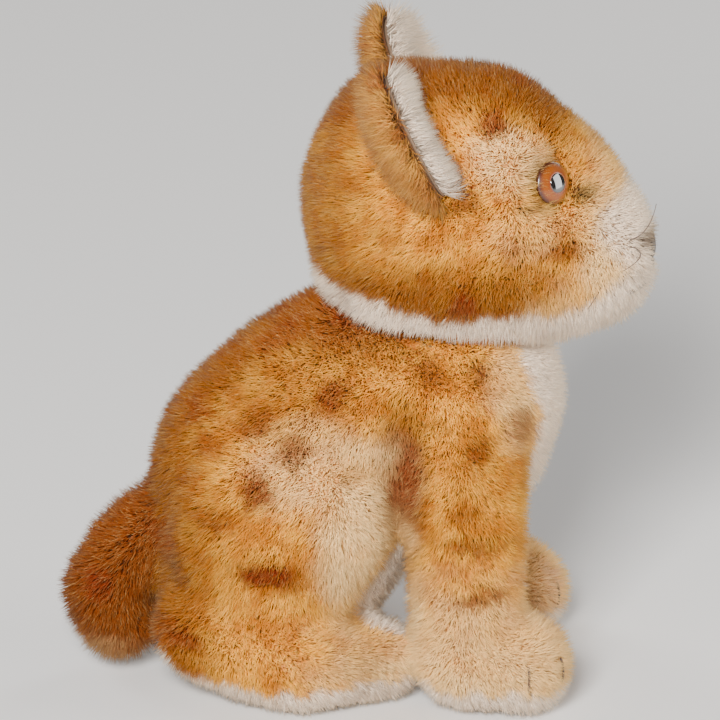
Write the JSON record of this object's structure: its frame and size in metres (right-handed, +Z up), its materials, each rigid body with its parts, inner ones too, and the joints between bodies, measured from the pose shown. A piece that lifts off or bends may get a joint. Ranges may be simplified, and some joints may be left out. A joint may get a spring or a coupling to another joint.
{
  "type": "plush cat",
  "caption": "Seated spotted mohair plush cat with glass eyes, a stub tail and a disc-jointed head that turns.",
  "frame": {"origin": "centre of the bounding box, on the ground under the feet", "axes": "+X the way the cat faces, +Y its left side, +Z up"},
  "size_m": [0.1193, 0.0648, 0.1339],
  "materials": {
    "tan_mohair": "golden tan mohair pile with brown airbrushed spots and pale tips",
    "white_mohair": "off-white mohair pile",
    "wood_wool": "packed wood wool",
    "hardboard": "pressed hardboard",
    "steel": "plain steel",
    "amber_glass": "clear glass over orange-amber paint",
    "black_glass": "polished black glass",
    "black_thread": "stranded embroidery cotton",
    "brown_thread": "waxed thread",
    "linen_thread": "twisted linen thread"
  },
  "bodies": {
    "body": {"side_panel_right": "tan_mohair", "side_panel_left": "tan_mohair", "under_gusset_right": "white_mohair", "under_gusset_left": "white_mohair", "body_stuffing": "wood_wool", "tail_cover": "tan_mohair", "tail_stuffing": "wood_wool", "claw_stitches_right": "brown_thread", "claw_stitches_left": "brown_thread", "closing_stitches": "linen_thread", "body_gathering_thread": "linen_thread", "body_disc": "hardboard", "body_washer": "steel"},
    "head": {"head_side_right": "tan_mohair", "head_side_left": "tan_mohair", "forehead_gusset": "tan_mohair", "chin_gusset": "white_mohair", "head_stuffing": "wood_wool", "ear_back_right": "tan_mohair", "ear_back_left": "tan_mohair", "ear_lining_right": "white_mohair", "ear_lining_left": "white_mohair", "eye_glass_right": "amber_glass", "eye_glass_left": "amber_glass", "eye_pupil_right": "black_glass", "eye_pupil_left": "black_glass", "eye_wire_right": "steel", "eye_wire_left": "steel", "nose_stitches": "black_thread", "mouth_stitches": "black_thread", "whiskers_right": "brown_thread", "whiskers_left": "brown_thread", "head_gathering_thread": "linen_thread", "head_disc": "hardboard", "head_washer": "steel", "cotter_pin": "steel"}
  },
  "joints": [
    {"name": "neck_swivel", "type": "hinge", "parent": "body", "child": "head", "pos_m": [0.0155, 0, 0.077], "axis": [0.2588, 0, 0.9659], "continuous": true}
  ]
}
